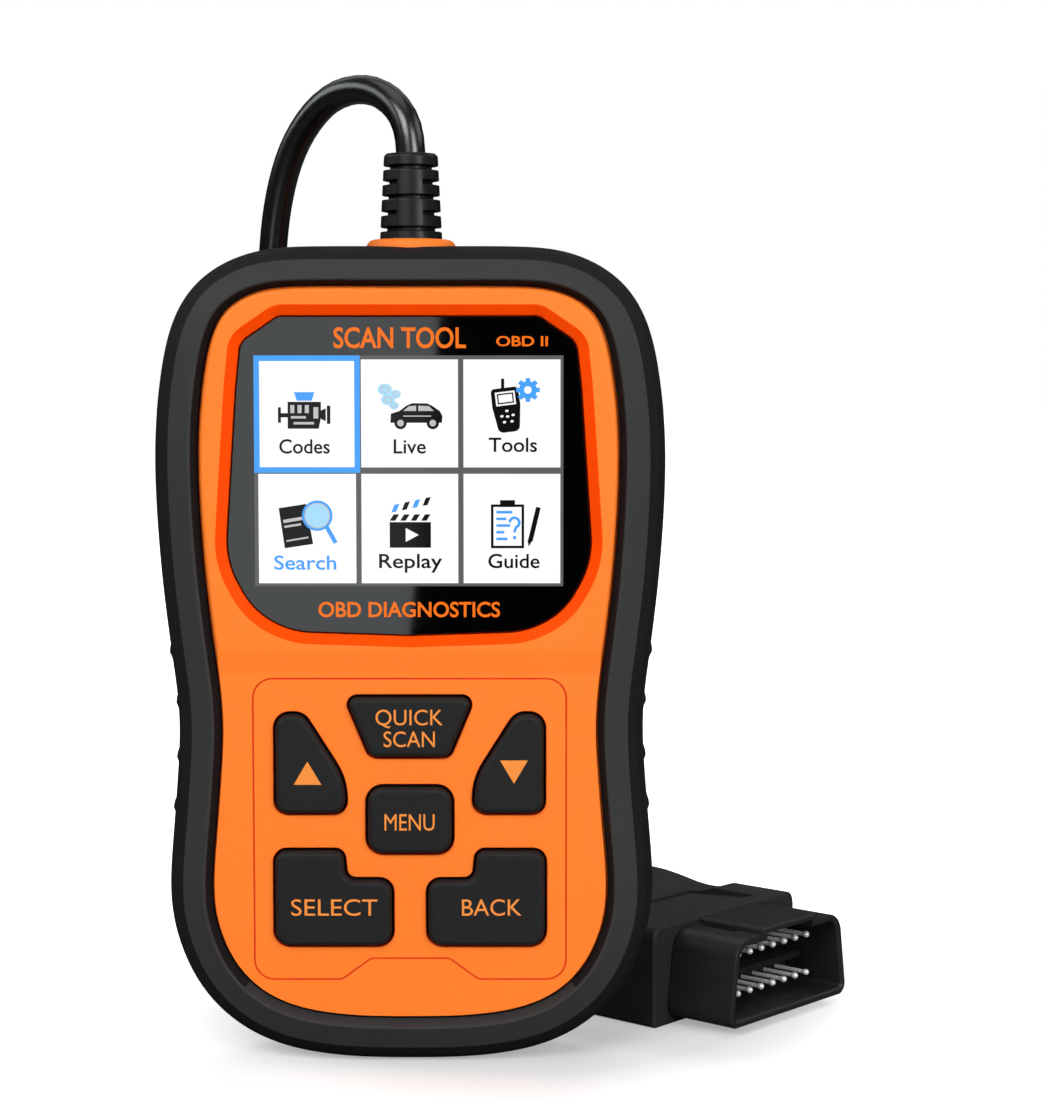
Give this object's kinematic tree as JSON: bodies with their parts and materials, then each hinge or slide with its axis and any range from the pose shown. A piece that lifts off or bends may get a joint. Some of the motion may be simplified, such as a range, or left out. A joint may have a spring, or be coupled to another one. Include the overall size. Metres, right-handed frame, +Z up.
{
  "type": "hand-held OBD code reader",
  "caption": "Hand-held vehicle diagnostic reader with a colour screen, spring-return keys, a rubber bumper and a captive lead that ends in a 16-way diagnostic plug.",
  "frame": {"origin": "on the floor, under the middle of the standing case: the bottom centre of the box of everything but the free lead and its plug", "axes": "+Z up along the length of the case, the face with screen and keys looks towards -Y, +X to the right of someone who reads the screen"},
  "size_m": [0.1373, 0.1515, 0.1887],
  "materials": {
    "orange_plastic": "fine satin texture",
    "black_rubber": "matt moulded",
    "key_silicone": "matt moulded",
    "window_acrylic": "polished, black printed border",
    "screen_glass": "polished",
    "pressed_steel": "bare pressed sheet",
    "amber_film": "polyimide film",
    "green_laminate": "solder mask",
    "chip_resin": "matt epoxy",
    "zinc_steel": "zinc plated",
    "white_nylon": "as moulded",
    "black_pvc": "smooth matt",
    "tie_rubber": "matt",
    "label_film": "satin foil",
    "plug_nylon": "fine spark texture",
    "tinned_brass": "bright tinned"
  },
  "bodies": {
    "reader": {"board_screw_1": "zinc_steel", "board_screw_2": "zinc_steel", "bumper": "black_rubber", "buzzer": "chip_resin", "cable_coil": "black_pvc", "cable_collar": "orange_plastic", "cable_header": "white_nylon", "cable_lead": "black_pvc", "cable_tail": "black_pvc", "cable_tie": "tie_rubber", "can_transceiver": "chip_resin", "case_screw_1": "zinc_steel", "case_screw_2": "zinc_steel", "case_screw_3": "zinc_steel", "case_screw_4": "zinc_steel", "clock_crystal": "zinc_steel", "display_window": "window_acrylic", "dome_sheet": "amber_film", "filter_capacitor": "zinc_steel", "front_shell": "orange_plastic", "header_plug": "white_nylon", "inner_lead": "black_pvc", "keypad_mat": "key_silicone", "lcd_backlight": "pressed_steel", "lcd_flex": "amber_film", "lcd_panel": "screen_glass", "main_board": "green_laminate", "memory_chip": "chip_resin", "pin_carrier": "plug_nylon", "plug_body": "plug_nylon", "plug_pin_01": "tinned_brass", "plug_pin_02": "tinned_brass", "plug_pin_03": "tinned_brass", "plug_pin_04": "tinned_brass", "plug_pin_05": "tinned_brass", "plug_pin_06": "tinned_brass", "plug_pin_07": "tinned_brass", "plug_pin_08": "tinned_brass", "plug_pin_09": "tinned_brass", "plug_pin_10": "tinned_brass", "plug_pin_11": "tinned_brass", "plug_pin_12": "tinned_brass", "plug_pin_13": "tinned_brass", "plug_pin_14": "tinned_brass", "plug_pin_15": "tinned_brass", "plug_pin_16": "tinned_brass", "plug_shroud": "plug_nylon", "plug_strain_relief": "black_pvc", "processor": "chip_resin", "rear_label": "label_film", "rear_shell": "orange_plastic", "strain_relief": "black_pvc", "voltage_regulator": "chip_resin"},
    "up_key": {"key_up": "key_silicone"},
    "down_key": {"key_down": "key_silicone"},
    "quick_key": {"key_quick": "key_silicone"},
    "menu_key": {"key_menu": "key_silicone"},
    "select_key": {"key_select": "key_silicone"},
    "back_key": {"key_back": "key_silicone"}
  },
  "joints": [
    {"name": "up_press", "type": "slide", "parent": "reader", "child": "up_key", "axis": [0, 1, 0], "range_m": [0, 0.001], "stiffness_N_per_m": 800},
    {"name": "down_press", "type": "slide", "parent": "reader", "child": "down_key", "axis": [0, 1, 0], "range_m": [0, 0.001], "stiffness_N_per_m": 800},
    {"name": "quick_press", "type": "slide", "parent": "reader", "child": "quick_key", "axis": [0, 1, 0], "range_m": [0, 0.001], "stiffness_N_per_m": 800},
    {"name": "menu_press", "type": "slide", "parent": "reader", "child": "menu_key", "axis": [0, 1, 0], "range_m": [0, 0.001], "stiffness_N_per_m": 800},
    {"name": "select_press", "type": "slide", "parent": "reader", "child": "select_key", "axis": [0, 1, 0], "range_m": [0, 0.001], "stiffness_N_per_m": 800},
    {"name": "back_press", "type": "slide", "parent": "reader", "child": "back_key", "axis": [0, 1, 0], "range_m": [0, 0.001], "stiffness_N_per_m": 800}
  ]
}
